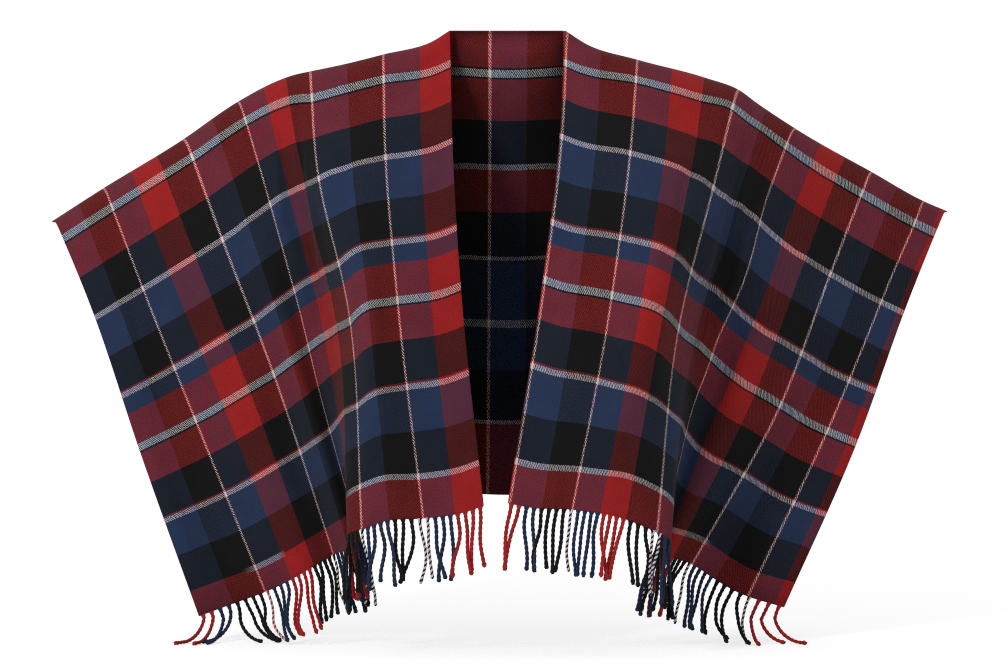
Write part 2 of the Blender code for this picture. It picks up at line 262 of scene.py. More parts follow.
# Yarn colours, and the stripes of the weave in metres of flat cloth. The warp repeats.
Stripe = namedtuple("Stripe", "start yarn")
WARP_REPEAT = 0.2545
WARP = (
    Stripe(0.00000, "white"),
    Stripe(0.00165, "red"),
    Stripe(0.00265, "blue"),
    Stripe(0.05145, "red"),
    Stripe(0.10015, "black"),
    Stripe(0.14895, "red"),
    Stripe(0.14995, "white"),
    Stripe(0.15325, "red"),
    Stripe(0.15425, "blue"),
    Stripe(0.20305, "black"),
    Stripe(0.25185, "red"),
    Stripe(0.25285, "white"),
)
WEFT_LENGTH = 0.70
WEFT = (
    Stripe(0.0000, "red"),
    Stripe(0.0443, "black"),
    Stripe(0.0461, "white"),
    Stripe(0.0571, "black"),
    Stripe(0.0589, "red"),
    Stripe(0.1113, "black"),
    Stripe(0.1672, "red"),
    Stripe(0.1685, "pale"),
    Stripe(0.1755, "red"),
    Stripe(0.1768, "blue"),
    Stripe(0.2345, "black"),
    Stripe(0.2886, "red"),
    Stripe(0.2899, "pale"),
    Stripe(0.2981, "red"),
    Stripe(0.2994, "blue"),
    Stripe(0.3252, "red"),
    Stripe(0.3693, "black"),
    Stripe(0.3711, "white"),
    Stripe(0.3813, "black"),
    Stripe(0.3831, "red"),
    Stripe(0.4319, "black"),
    Stripe(0.4886, "red"),
    Stripe(0.4899, "pale"),
    Stripe(0.4981, "red"),
    Stripe(0.4994, "blue"),
    Stripe(0.5565, "black"),
    Stripe(0.6136, "red"),
    Stripe(0.6149, "pale"),
    Stripe(0.6231, "red"),
)
LAST_BAND = 0.6190
LAST_BAND_REACH = 0.0072
# Where the last weft band shows, as shares at places across each front.
Share = namedtuple("Share", "across share")
LEFT_LAST_BAND = (
    Share(0.0000, 1),
    Share(0.2260, 1),
    Share(0.2500, 0),
    Share(0.5500, 0),
    Share(0.5650, 0.75),
    Share(0.6050, 0.75),
    Share(0.6250, 0),
    Share(0.7077, 0),
)
RIGHT_LAST_BAND = (
    Share(0.0000, 1),
    Share(0.2850, 1),
    Share(0.3100, 0.7),
    Share(0.5000, 0.7),
    Share(0.5250, 0),
    Share(0.6605, 0),
)
BACK_WEFT = (
    Stripe(0.0000, "red"),
    Stripe(0.0487, "black"),
    Stripe(0.0505, "white"),
    Stripe(0.0615, "black"),
    Stripe(0.0633, "red"),
    Stripe(0.1232, "black"),
    Stripe(0.1876, "pale"),
    Stripe(0.1946, "red"),
    Stripe(0.2570, "black"),
    Stripe(0.3180, "pale"),
    Stripe(0.3250, "blue"),
    Stripe(0.4100, "white"),
    Stripe(0.4205, "blue"),
    Stripe(0.4800, "black"),
    Stripe(0.5503, "pale"),
    Stripe(0.5573, "red"),
)
BACK_PHASE = 0.1762
# The warp is red at the right front's two side edges, between and beyond these places.
RED_EDGE_LOW = 0.6200
RED_EDGE_HIGH = 0.6600
RED_EDGE_LAST = 1.3060
LEFT_PHASE = 0.6075
RIGHT_PHASE = 0.6578

# The twill's strokes. How strong they are, and the weft's share of the surface, each change with
# how bright the warp and the weft are.
STROKE_ACROSS = 0.0029
STROKE_DOWN = 0.0047
MIX_POWER = 0.35
BRIGHT_GAIN = 1.2
CONTRAST = 0.14
CONTRAST_BRIGHT = 0.36
CONTRAST_APART = 0.08
CONTRAST_WARP = 0.25
WEFT_SHARE = 0.58
WEFT_SHARE_WARP = 0.10
WEFT_SHARE_WEFT = -0.20
MOTTLE = 0.65
MOTTLE_BRIGHT = -0.7
# The brushed surface: its noises, the tone they give, its relief, and the painted shade of deep
# folds, darkening the colour where nearby cloth hides the surface.
FUZZ_SCALE = 900.0
FUZZ_REACH = 0.0016
WANDER_SCALE = 240.0
HAIR_SCALE = 520.0
CLOUD_SCALE = 26.0
HAIR_TONE, HAIR_BASE = 0.9, 0.42
CLOUD_TONE, CLOUD_BASE = 0.3, -0.02
HAIR_RELIEF = 2.0
RELIEF_DEPTH = 0.0003
WOOL_RELIEF = 0.35
# How far the painted fold shade looks for nearby cloth, on the fronts and on the back, and how
# strongly it darkens the colour.
FRONT_PAINTED_SHADE_REACH = 0.11
BACK_PAINTED_SHADE_REACH = 0.30
PAINTED_FOLD_SHADE = 1.3
WOOL_FINISH = {
    "Roughness": 0.92,
    "Specular IOR Level": 0.12,
    "Sheen Weight": 0.06,
    "Sheen Roughness": 0.5,
}
# The fringe's yarn: single yarns wind round each ply.
YARN_WINDS = 2.0
YARN_TURN = 0.0045
YARN_FUZZ, YARN_BASE = 0.8, 0.68
YARN_WAVE, YARN_LEVEL = 0.06, 1.10
YARN_RELIEF = 0.5
YARN_FINISH = {"Roughness": 0.9, "Specular IOR Level": 0.15, "Sheen Weight": 0.08}

# The shells: spacing of their columns and rows, their rounded edges, and the back's neck corners.
FRONT_COLUMN = 0.0044
BACK_COLUMN = 0.0058
CORNER_REACH = 0.05
CORNER_DEPTH = 0.20
ROW = 0.0045
LAST_PART = 0.01
EDGE_PART = 0.4
EDGE_SEGMENTS = 2
EDGE_ANGLE = math.radians(60)

# The strands. Each leaves the hem flat and spread, over an arch, and ends in a small tuft.
STRAND_SIDES = 6
STRAND_RINGS = 62
RING_CROWDING = 1.25
STRAND_SPACING = 0.0122
STRAND_SEED = 7
ARCH = 0.0055
ROOT_HALF = 0.0052
ROOT_THICKNESS = 0.0009
ROOT_DEPTH = 0.001
BESIDE = 0.001
WIND_START = 0.4
TIP_START = 0.90
TUFT_OPEN = 0.35
TUFT_SWELL = 0.25
TUFT_CLOSE = 0.45
TUFT_CLOSING = 0.75
PLY_APART = 0.32
RED_ROOT = 0.020
RED_CORNER = -0.073
FLOOR_BEND = 0.35
# How soon along a strand its drop, its lean and its bends are at their full size.
DROP_RATE, LEAN_RATE, BEND_RATE = 2.2, 3, 4
# A strand with white warp this near is a finer one.
NEAR_WARP = (-0.006, -0.004, -0.002, 0, 0.002, 0.004, 0.006)
FINE_PLY = 0.80
FINE_PITCH = 0.5
YARN_SHADE = {"red": 1.0, "blue": 0.7, "black": 1.1, "pale": 0.9}
# How the strands differ, one from the next.
TONES = (0.85, 1.15)
LENGTHS = (0.93, 1.03)
BEND_SIZES = (0.05, 0.26)
BEND_TURNS = (3, 8)
LEAN_SPREAD = 0.10
SLIDE_SPREAD = 0.25
SLIDE_FORWARD = (-1.0, -0.4)
Bend = namedtuple("Bend", "size start turns")
Twist = namedtuple("Twist", "ply pitch length turn")
# How the strands hang: their lean to the right, and the way their ends lie on the floor.
Lie = namedtuple("Lie", "across lean slide")
LEFT_LIES = (
    Lie(0.0000, 0.05, 0.3),
    Lie(0.0500, -0.05, 0.3),
    Lie(0.4500, 0.12, 0.6),
    Lie(0.5600, 0.06, 0.6),
    Lie(0.6050, 0.12, 0.6),
    Lie(0.6520, 0.22, 0.6),
    Lie(0.6580, -0.15, -0.4),
    Lie(0.7077, -0.16, -0.5),
)
RIGHT_LIES = (
    Lie(0.0000, -0.12, -0.3),
    Lie(0.0600, -0.03, -0.3),
    Lie(0.3600, -0.08, -0.1),
    Lie(0.5800, -0.08, 0.0),
    Lie(0.6300, -0.10, 0.1),
    Lie(0.6400, -0.12, 0.8),
    Lie(0.6605, -0.12, 1.0),
)

# The stage.
CAMERA = (0, -4.2, -0.421)
CAMERA_LENS = 108.7
CAMERA_REACH = 50
PIXEL_FILTER = 1.1
WORLD_LIGHT = 0.455
FLOOR_GLOW = 0.675
FLOOR_HALF = 20.0
FLOOR_GAP = 0.0005
SPECK_SCALE = 3.0
SPECK_TONE, SPECK_BASE = 0.01, 0.995
FLOOR_FINISH = {
    "Emission Color": (1, 1, 1, 1),
    "Roughness": 0.8,
    "Specular IOR Level": 0.0,
}
Light = namedtuple("Light", "name x y z aim_z size power")
LIGHTS = (
    Light("key", -2.4, -3.5, 1.4, -0.40, 0.9, 66),
    Light("fill", 2.4, -3.6, 1.2, -0.4, 2.0, 8),
)


class CapeSizes(bpy.types.PropertyGroup):
    cloth: bpy.props.FloatProperty(
        name="Cloth", description="Thickness of the cloth", default=0.0018, unit="LENGTH")
    strand: bpy.props.FloatProperty(
        name="Strand", description="Length of a fringe strand", default=0.088, unit="LENGTH")
    ply: bpy.props.FloatProperty(
        name="Ply", description="Radius of one ply of a strand", default=0.0021, unit="LENGTH")
    pitch: bpy.props.FloatProperty(
        name="Twist", description="Length of one full turn of a strand", default=0.014,
        unit="LENGTH")


class CapeColours(bpy.types.PropertyGroup):
    red: bpy.props.FloatVectorProperty(
        name="Red", description="Red yarn", default=(0.40, 0.018, 0.019), subtype="COLOR")
    blue: bpy.props.FloatVectorProperty(
        name="Blue", description="Navy yarn", default=(0.0250, 0.043, 0.101), subtype="COLOR")
    black: bpy.props.FloatVectorProperty(
        name="Black", description="Black yarn", default=(0.0085, 0.0080, 0.0080), subtype="COLOR")
    white: bpy.props.FloatVectorProperty(
        name="White", description="White yarn", default=(0.74, 0.74, 0.72), subtype="COLOR")
    pale: bpy.props.FloatVectorProperty(
        name="Pale", description="White yarn of the thin bands", default=(0.78, 0.68, 0.70),
        subtype="COLOR")
    floor: bpy.props.FloatVectorProperty(
        name="Floor", description="Studio floor", default=(0.70, 0.70, 0.70), subtype="COLOR")


# The form of the cloth.


def through(knots, values, at):
    """A smooth curve through the values, with three-point slopes at the knots."""
    knots, values, at = (np.asarray(item, float) for item in (knots, values, at))
    spans = np.diff(knots)
    chords = (np.diff(values, axis=0).T / spans).T
    slopes = np.empty_like(values)
    slopes[0], slopes[-1] = chords[0], chords[-1]
    weights = spans[:-1] / (spans[:-1] + spans[1:])
    slopes[1:-1] = ((1 - weights) * chords[:-1].T + weights * chords[1:].T).T
    index = np.clip(np.searchsorted(knots, at, side="right") - 1, 0, len(spans) - 1)
    step = spans[index]
    along = (at - knots[index]) / step
    square, cube = along**2, along**3
    terms = (
        (2 * cube - 3 * square + 1, values[index]),
        ((cube - 2 * square + along) * step, slopes[index]),
        (3 * square - 2 * cube, values[index + 1]),
        ((cube - square) * step, slopes[index + 1]),
    )
    return sum((weight * value.T).T for weight, value in terms)


def warp_line(crest, hang, side, rows):
    """One warp line as shifts from its crest point. side is -1 for a front and +1 for the back."""
    down = np.linspace(0, hang.length, STEPS + 1)
    levels = (0, CHEST, WAIST, hang.length)
    x = through(levels, (crest.x, hang.chest_x, hang.waist_x, hang.hem_x), down)
    turned = np.minimum(down / crest.roll, math.pi / 2)
    rolled = crest.y + side * crest.roll
    drift = [level - rolled for level in (hang.chest_y, hang.waist_y, hang.hem_y)]
    start = crest.roll * math.pi / 2
    levels = (ABOVE_SEAM, 0, start, max(CHEST, start + SETTLE), WAIST, hang.length)
    y = side * crest.roll * np.sin(turned) + through(levels, (0, 0, 0, *drift), down)
    fall = 1 - np.gradient(x, down) ** 2 - np.gradient(y, down) ** 2
    steps = np.sqrt(np.clip(fall, 0.0, 1)) * hang.length / STEPS
    z = -np.concatenate([[0], np.cumsum((steps[1:] + steps[:-1]) / 2)])
    shifts = np.stack([x - crest.x, y, z], axis=1)
    return through(down, shifts, rows * hang.length)


def swell(folds, side, across, rows):
    """How far the soft folds move the cloth, at each column and row."""
    levels = (ABOVE_SEAM, 0, CHEST_PART, WAIST_PART, 1)
    moved = np.zeros((len(across), len(rows)))
    for fold in folds:
        reach = np.clip(np.abs(across - fold.across) / fold.half_width, 0, 1)
        bump = np.cos(reach * math.pi / 2) ** 2
        depth = through(levels, (0, 0, fold.chest, fold.waist, fold.hem), rows)
        moved += np.outer(bump, side * depth)
    return moved


def crest_line(crests, across):
    return through([row.across for row in crests], [row[1:4] for row in crests], across)


def front_points(crests, hangs, folds, across, rows):
    """A front panel's middle surface as columns of points."""
    lines = np.stack([warp_line(*pair, -1, rows) for pair in zip(crests, hangs)])
    shifts = through([row.across for row in crests], lines, across)
    shifts[:, :, 1] += swell(folds, -1, across, rows)
    shifts[:, :, 1] -= SEAM_GAP / 2
    return crest_line(crests, across)[:, None] + shifts


def back_points(across, rows):
    """The back panel's middle surface. Here `across` runs from far left to far right, 0 between."""
    neck = RIGHT_CREST[0].x - LEFT_CREST[0].x
    places, lines = [], []
    for crest, hang in list(zip(LEFT_CREST, LEFT_BACK))[::-1]:
        places.append(-neck / 2 - crest.across)
        lines.append(warp_line(crest, hang, 1, rows))
    for crest, hang in zip(RIGHT_CREST, RIGHT_BACK):
        places.append(neck / 2 + crest.across)
        lines.append(warp_line(crest, hang, 1, rows))
    shifts = through(places, np.stack(lines), across)
    beyond = np.abs(across) - neck / 2
    left = crest_line(LEFT_CREST, np.maximum(beyond, 0))
    right = crest_line(RIGHT_CREST, np.maximum(beyond, 0))
    between = np.clip(across / neck + 0.5, 0, 1)[:, None]
    crest = np.where(beyond[:, None] < 0, left * (1 - between) + right * between, 0)
    crest += np.where(beyond[:, None] >= 0, np.where(across[:, None] < 0, left, right), 0)
    for folds, outer in ((LEFT_BACK_FOLDS, across < 0), (RIGHT_BACK_FOLDS, across >= 0)):
        shifts[:, :, 1] += swell(folds, 1, beyond, rows) * outer[:, None]
    shifts[:, :, 1] += SEAM_GAP / 2
    return crest[:, None] + shifts


def square_to(points):
    """The outward direction at each point of a grid that runs from left to right, from outside."""
    normals = np.cross(np.gradient(points, axis=1), np.gradient(points, axis=0))
    return normals / np.linalg.norm(normals, axis=2)[:, :, None]


def creased(points, creases, across, down):
    """The points with the listed creases, each a smooth swell along its own line."""
    moved = np.zeros(points.shape[:2])
    for crease in creases:
        slope = math.hypot(1, crease.run)
        a, d = across - crease.across, down - crease.down
        along = np.clip(np.abs(d + a * crease.run) / slope / crease.reach, 0, 1)
        aside = np.clip(np.abs(a - d * crease.run) / slope / crease.half_width, 0, 1)
        moved += crease.rise * np.cos(along * math.pi / 2) ** 2 * np.cos(aside * math.pi / 2) ** 2
    return points + square_to(points) * moved[:, :, None]


def unkinked(points, across, down):
    """The back with the bends at the two neck corners softened, all the more further down."""
    half = (RIGHT_CREST[0].x - LEFT_CREST[0].x) / 2
    reach = round(CORNER_REACH / BACK_COLUMN)
    weights = np.hanning(2 * reach + 3)[1:-1]
    wide = np.pad(points, ((reach, reach), (0, 0), (0, 0)), mode="reflect", reflect_type="odd")
    soft = sum(weight * wide[i:i + len(points)] for i, weight in enumerate(weights / weights.sum()))
    near = np.exp(-((np.abs(across) - half) / CORNER_REACH) ** 2)
    share = near[:, None] * np.clip(down / CORNER_DEPTH, 0, 1)
    return points + (soft - points) * share[:, :, None]


def swayed(sways, across, down):
    """How far aside the warp lies at each place."""
    moved = np.zeros(down.shape)
    for sway in sways:
        aside = np.clip(np.abs(across - sway.across) / sway.half_width, 0, 1)
        along = np.clip(np.abs(down - sway.down) / sway.reach, 0, 1)
        moved += sway.shift * np.cos(aside * math.pi / 2) ** 2 * np.cos(along * math.pi / 2) ** 2
    return moved


def grid_mesh(name, points, cloth, shares):
    """A sheet of quads, with flat cloth's metres as UV and the last band's share on its points."""
    columns, rows = points.shape[:2]
    index = np.arange(columns * rows).reshape(columns, rows)
    corners = (index[:-1, 1:], index[1:, 1:], index[1:, :-1], index[:-1, :-1])
    faces = np.stack(corners, axis=2).reshape(-1, 4)
    mesh = bpy.data.meshes.new(name)
    mesh.from_pydata(points.reshape(-1, 3).tolist(), [], faces.tolist())
    layer = mesh.uv_layers.new(name="cloth")
    layer.data.foreach_set("uv", cloth.reshape(-1, 2)[faces].astype(np.float32).ravel())
    share = mesh.attributes.new("last_band", "FLOAT", "POINT")
    share.data.foreach_set("value", shares.astype(np.float32).ravel())
    mesh.polygons.foreach_set("use_smooth", [True] * len(mesh.polygons))
    return mesh


def cloth_piece(context, name, mesh, thickness, material):
    """The sheet made into a thin shell with rounded edges."""
    piece = bpy.data.objects.new(name, mesh)
    context.scene.collection.objects.link(piece)
    mesh.materials.append(material)
    solid = piece.modifiers.new("shell", "SOLIDIFY")
    solid.thickness, solid.offset = thickness, 0
    edge = piece.modifiers.new("edge", "BEVEL")
    edge.width, edge.segments = thickness * EDGE_PART, EDGE_SEGMENTS
    edge.limit_method, edge.angle_limit = "ANGLE", EDGE_ANGLE
    with context.temp_override(object=piece, active_object=piece, selected_objects=[piece]):
        for modifier in ("shell", "edge"):
            bpy.ops.object.modifier_apply(modifier=modifier)
    return piece


# Materials.


def add(tree, kind, inputs=None, **settings):
    """A new shader node with its settings, and its inputs set or linked."""
    made = tree.nodes.new("ShaderNode" + kind)
    for key, value in settings.items():
        setattr(made, key, value)
    for key, value in (inputs or {}).items():
        if isinstance(value, bpy.types.NodeSocket):
            tree.links.new(value, made.inputs[key])
        else:
            made.inputs[key].default_value = value
    return made


def maths(tree, operation, *values, clamp=False):
    made = add(tree, "Math", dict(enumerate(values)), operation=operation, use_clamp=clamp)
    return made.outputs[0]


def chart(tree, place, stripes, length, colours):
    """The stripes as a colour ramp of hard steps over one length of cloth."""
    ramp = add(tree, "ValToRGB", {"Fac": place})
    steps = ramp.color_ramp
    steps.interpolation = "CONSTANT"
    for i, stripe in enumerate(stripes):
        step = steps.elements[i] if i < 1 else steps.elements.new(stripe.start / length)
        step.color = (*colours[stripe.yarn], 1)
    steps.elements.remove(steps.elements[len(stripes)])
    return ramp.outputs["Color"]


def mixed(tree, factor, first, second):
    """The first colour where the factor is 0, the second where it is 1."""
    made = add(tree, "Mix", {"Factor": factor, 6: first, 7: second}, data_type="RGBA")
    return made.outputs[2]


def noise(tree, vector, scale, **inputs):
    """Noise over the flat cloth."""
    return add(tree, "TexNoise", {"Vector": vector, "Scale": scale, **inputs},
               noise_dimensions="2D")


def channel(tree, colour, index):
    return add(tree, "SeparateColor", {0: colour}).outputs[index]


def new_material(name):
    material = bpy.data.materials.new(name)
    material.use_nodes = True
    return material, material.node_tree, material.node_tree.nodes["Principled BSDF"]


def surface(tree, shader, colour, finish, height=None, strength=0.0):
    """The shader's colour, finish and relief."""
    tree.links.new(colour, shader.inputs["Base Color"])
    for key, value in finish.items():
        shader.inputs[key].default_value = value
    if height is not None:
        relief = {"Strength": strength, "Distance": RELIEF_DEPTH, "Height": height}
        tree.links.new(add(tree, "Bump", relief).outputs[0], shader.inputs["Normal"])


def charted_yarns(tree, cloth, colours, weft, red_edges):
    """The colours of the warp and of the weft at each place, with hairy borders."""
    fuzz = noise(tree, cloth, FUZZ_SCALE, Detail=1.0).outputs["Color"]
    jitter = add(tree, "VectorMath", {0: fuzz, 1: (0.5, 0.5, 0.5)}, operation="SUBTRACT")
    shift = add(tree, "VectorMath", {0: jitter.outputs[0], "Scale": FUZZ_REACH}, operation="SCALE")
    shifted = add(tree, "VectorMath", {0: cloth, 1: shift.outputs[0]}, operation="ADD")
    place, down = add(tree, "SeparateXYZ", {0: shifted.outputs[0]}).outputs[:2]
    black, red = ((*colours[yarn], 1) for yarn in ("black", "red"))
    turns = maths(tree, "FRACT", maths(tree, "DIVIDE", place, WARP_REPEAT))
    warp = chart(tree, turns, WARP, WARP_REPEAT, colours)
    if red_edges:
        inner = maths(tree, "COMPARE", place, (RED_EDGE_LOW + RED_EDGE_HIGH) / 2,
                      (RED_EDGE_HIGH - RED_EDGE_LOW) / 2)
        outer = maths(tree, "GREATER_THAN", place, RED_EDGE_LAST)
        warp = mixed(tree, maths(tree, "MAXIMUM", inner, outer), warp, red)
    across = chart(tree, maths(tree, "DIVIDE", down, WEFT_LENGTH), weft, WEFT_LENGTH, colours)
    # The last band fades where the cloth's own colours meet without it.
    off = maths(tree, "SUBTRACT", down, LAST_BAND)
    near = maths(tree, "LESS_THAN", maths(tree, "ABSOLUTE", off), LAST_BAND_REACH)
    shown = add(tree, "Attribute", attribute_name="last_band").outputs["Fac"]
    gone = maths(tree, "MULTIPLY", near, maths(tree, "SUBTRACT", 1.0, shown))
    plain = mixed(tree, maths(tree, "GREATER_THAN", off, 0.0), black, red)
    return warp, mixed(tree, gone, across, plain)


def plaid(colours, name, weft, red_edges, depth):
    """Woven wool: the charted warp and weft, mixed thread by thread in a twill, with painted shade
    where nearby cloth within depth hides the surface.
    """
    material, tree, shader = new_material(name)
    cloth = add(tree, "UVMap", uv_map="cloth").outputs[0]
    yarns = charted_yarns(tree, cloth, colours, weft, red_edges)
    # Which thread lies on top.
    even = add(tree, "SeparateXYZ", {0: cloth}).outputs
    wander = noise(tree, cloth, WANDER_SCALE, Detail=2.0).outputs["Fac"]
    phase = maths(tree, "SUBTRACT", maths(tree, "DIVIDE", even[0], STROKE_ACROSS),
                  maths(tree, "DIVIDE", even[1], STROKE_DOWN))
    turn = maths(tree, "MULTIPLY", maths(tree, "ADD", phase, wander), 2 * math.pi)
    wave = maths(tree, "SINE", turn)
    bright = [maths(tree, "MULTIPLY", channel(tree, yarn, 1), BRIGHT_GAIN, clamp=True)
              for yarn in yarns]
    brightest = maths(tree, "MAXIMUM", *bright)
    apart = maths(tree, "ABSOLUTE",
                  maths(tree, "SUBTRACT", *(channel(tree, yarn, 0) for yarn in yarns)))
    contrast = maths(tree, "MULTIPLY_ADD", brightest, CONTRAST_BRIGHT, CONTRAST)
    contrast = maths(tree, "MULTIPLY_ADD", apart, CONTRAST_APART, contrast)
    contrast = maths(tree, "MULTIPLY_ADD", bright[0], CONTRAST_WARP, contrast)
    # White yarn shows as thinner strokes, and the brushed surface mixes the rest.
    share = maths(tree, "MULTIPLY_ADD", bright[0], WEFT_SHARE_WARP, WEFT_SHARE)
    share = maths(tree, "MULTIPLY_ADD", bright[1], WEFT_SHARE_WEFT, share)
    hair = noise(tree, cloth, HAIR_SCALE, Detail=3.0, Roughness=0.7).outputs["Fac"]
    mottle = maths(tree, "MULTIPLY_ADD", brightest, MOTTLE_BRIGHT, MOTTLE)
    heather = maths(tree, "MULTIPLY_ADD", maths(tree, "SUBTRACT", hair, 0.5), mottle, share)
    top = maths(tree, "MULTIPLY_ADD", wave, contrast, heather, clamp=True)
    soft = [add(tree, "Gamma", {0: yarn, 1: MIX_POWER}).outputs[0] for yarn in yarns]
    woven = add(tree, "Gamma", {0: mixed(tree, top, *soft), 1: 1 / MIX_POWER}).outputs[0]
    # Nap: uneven tone of the brushed wool.
    cloud = noise(tree, cloth, CLOUD_SCALE, Detail=2.0).outputs["Fac"]
    tone = maths(tree, "MULTIPLY_ADD", hair, HAIR_TONE, HAIR_BASE)
    tone = maths(tree, "ADD", tone, maths(tree, "MULTIPLY_ADD", cloud, CLOUD_TONE, CLOUD_BASE))
    # Painted shade: the colour darkens where nearby cloth hides the surface, in deep folds and
    # inside the back.
    painted_shade_occlusion = add(tree, "AmbientOcclusion", {"Distance": depth}, samples=4).outputs["AO"]
    tone = maths(tree, "MULTIPLY", tone, maths(tree, "POWER", painted_shade_occlusion, PAINTED_FOLD_SHADE))
    colour = add(tree, "VectorMath", {0: woven, "Scale": tone}, operation="SCALE").outputs[0]
    height = maths(tree, "ADD", wave, maths(tree, "MULTIPLY", hair, HAIR_RELIEF))
    surface(tree, shader, colour, WOOL_FINISH, height, WOOL_RELIEF)
    return material


def yarn_material(name):
    """Twisted yarn in the colour of the warp that it comes from."""
    material, tree, shader = new_material(name)
    round_it, along_it = add(
        tree, "SeparateXYZ", {0: add(tree, "UVMap", uv_map="strand").outputs[0]}).outputs[:2]
    colour = add(tree, "Attribute", attribute_name="yarn").outputs["Color"]
    wind = maths(tree, "ADD", maths(tree, "MULTIPLY", round_it, YARN_WINDS),
                 maths(tree, "DIVIDE", along_it, YARN_TURN))
    wave = maths(tree, "SINE", maths(tree, "MULTIPLY", wind, 2 * math.pi))
    place = add(tree, "TexCoord").outputs["Object"]
    fluff = add(tree, "TexNoise", {"Vector": place, "Scale": FUZZ_SCALE, "Detail": 3.0,
                                   "Roughness": 0.7}).outputs["Fac"]
    tone = maths(tree, "MULTIPLY_ADD", fluff, YARN_FUZZ, YARN_BASE)
    tone = maths(tree, "MULTIPLY", tone,
                 maths(tree, "MULTIPLY_ADD", wave, YARN_WAVE, YARN_LEVEL))
    shade = add(tree, "VectorMath", {0: colour, "Scale": tone}, operation="SCALE").outputs[0]
    surface(tree, shader, shade, YARN_FINISH, maths(tree, "ADD", wave, fluff), YARN_RELIEF)
    return material


def palette(context):
    colours = context.scene.cape_colours
    names = ("red", "blue", "black", "white", "pale")
    return {name: tuple(getattr(colours, name)) for name in names}


# The cloth.


def front_chart(wefts, across, rows):
    """How far down the flat cloth each point of a front is."""
    places = [row.across for row in wefts]
    hem = np.interp(across, places, [row.hem for row in wefts])
    sag = np.interp(across, places, [row.sag for row in wefts])
    return np.outer(hem, rows) - np.outer(sag, np.interp(rows, SAG_PLACES, SAG_SHARES))


def make_front(context, side, crests, hangs, folds, creases, sways, wefts, bands, material):
    """One front panel, with its piece of the weave."""
    outward = 1 if crests[-1].x > 0 else -1
    width = crests[-1].across
    across = np.linspace(0, width, round(width / FRONT_COLUMN) + 1)[::outward]
    rows = np.linspace(0, 1, round(hangs[0].length / ROW) + 1)
    points = front_points(crests, hangs, folds, across, rows)
    down = front_chart(wefts, across, rows)
    points = creased(points, creases, across[:, None], down)
    phase = RIGHT_PHASE if outward > 0 else LEFT_PHASE
    warp = outward * (across[:, None] - swayed(sways, across[:, None], down)) + phase
    cloth = np.stack([warp, down], axis=2)
    shares = np.interp(across, [row.across for row in bands], [row.share for row in bands])
    shares = np.broadcast_to(shares[:, None], down.shape)
    mesh = grid_mesh("front_" + side, points, cloth, shares)
    thickness = context.scene.cape_sizes.cloth
    piece = cloth_piece(context, "cloth_front_" + side, mesh, thickness, material)
    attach(piece, "root")
    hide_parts("front_" + side)
    return piece


def make_back(context, material):
    """The back panel, with its own weft stripes."""
    neck = RIGHT_CREST[0].x - LEFT_CREST[0].x
    low, high = -neck / 2 - LEFT_CREST[-1].across, neck / 2 + RIGHT_CREST[-1].across
    across = np.linspace(low, high, round((high - low) / BACK_COLUMN) + 1)
    rows = np.linspace(0, 1, round(LEFT_BACK[0].length / ROW) + 1)
    points = back_points(across, rows)
    down = np.broadcast_to(rows * LEFT_BACK[0].length, points.shape[:2])
    points = unkinked(points, across, down)
    points = creased(points[::-1], BACK_CREASES, across[::-1, None], down)
    warp = np.broadcast_to((across + BACK_PHASE)[:, None], down.shape)
    cloth = np.stack([warp, down], axis=2)[::-1]
    mesh = grid_mesh("back", points, cloth, np.ones(down.shape))
    piece = cloth_piece(context, "cloth_back", mesh, context.scene.cape_sizes.cloth, material)
    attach(piece, "root")
    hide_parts("back")


# The fringe.


def yarn_at(place):
    """The warp's yarn at a place on the cloth."""
    inner = RED_EDGE_LOW < place < RED_EDGE_HIGH + RED_ROOT
    if place < RED_CORNER or inner or place > RED_EDGE_LAST - RED_ROOT:
        return "red"
    place %= WARP_REPEAT
    return [stripe.yarn for stripe in WARP if stripe.start <= place][-1]


def ease(value):
    value = min(max(value, 0.0), 1.0)
    return value * value * (3 - 2 * value)


def strand_route(start, along, length, radius, aside, bends, lean, slide):
    """A strand's middle line: out of the hem, down, and along the floor once it gets there."""
    point, points = Vector(start), []
    outside = aside.cross(along)
    last = STRAND_RINGS - 1
    places = [length * (i / last) ** RING_CROWDING for i in range(STRAND_RINGS)]
    for low, high in zip(places, places[1:] + [None]):
        points.append(point.copy())
        if high is None:
            break
        part = low / length
        way = along.lerp(Vector((0, 0, -1)), ease(part * DROP_RATE))
        way += Vector((lean * ease(part * LEAN_RATE), 0, 0))
        for direction, bend in zip((aside, outside), bends):
            swing = math.sin(bend.start + part * bend.turns)
            way += direction * bend.size * ease(part * BEND_RATE) * swing
        way.normalize()
        room = (point.z - FLOOR - radius) / (FLOOR_BEND * length)
        if room < 1:
            flat = Vector(slide).normalized()
            fall = max(min(-way.z, math.sqrt(max(room, 0.0))), 0.0)
            way = flat * math.sqrt(1 - fall * fall) + Vector((0, 0, -fall))
        point = point + way * (high - low)
        point.z = max(point.z, FLOOR + radius)
    return points


def ply_shape(travelled, twist):
    """How far a ply lies from the strand's middle, and how wide and thick it is there."""
    near = 1 - min(travelled / ARCH, 1.0)
    arch = 1 - math.sqrt(1 - near * near)
    end = max(0.0, travelled / twist.length - TIP_START) / (1 - TIP_START)
    tuft = 1 + TUFT_SWELL * math.sin(min(end, 1.0) * math.pi)
    tuft -= TUFT_CLOSE * max(0.0, end - TUFT_CLOSING) / (1 - TUFT_CLOSING)
    spare = ROOT_HALF - twist.ply * (1 + PLY_APART)
    apart = twist.ply * PLY_APART * (1 + TUFT_OPEN * end) + spare * arch / 2
    wide = twist.ply * tuft + spare * arch / 2
    thick = twist.ply * tuft * (1 - arch) + ROOT_THICKNESS * arch
    return apart, wide, thick


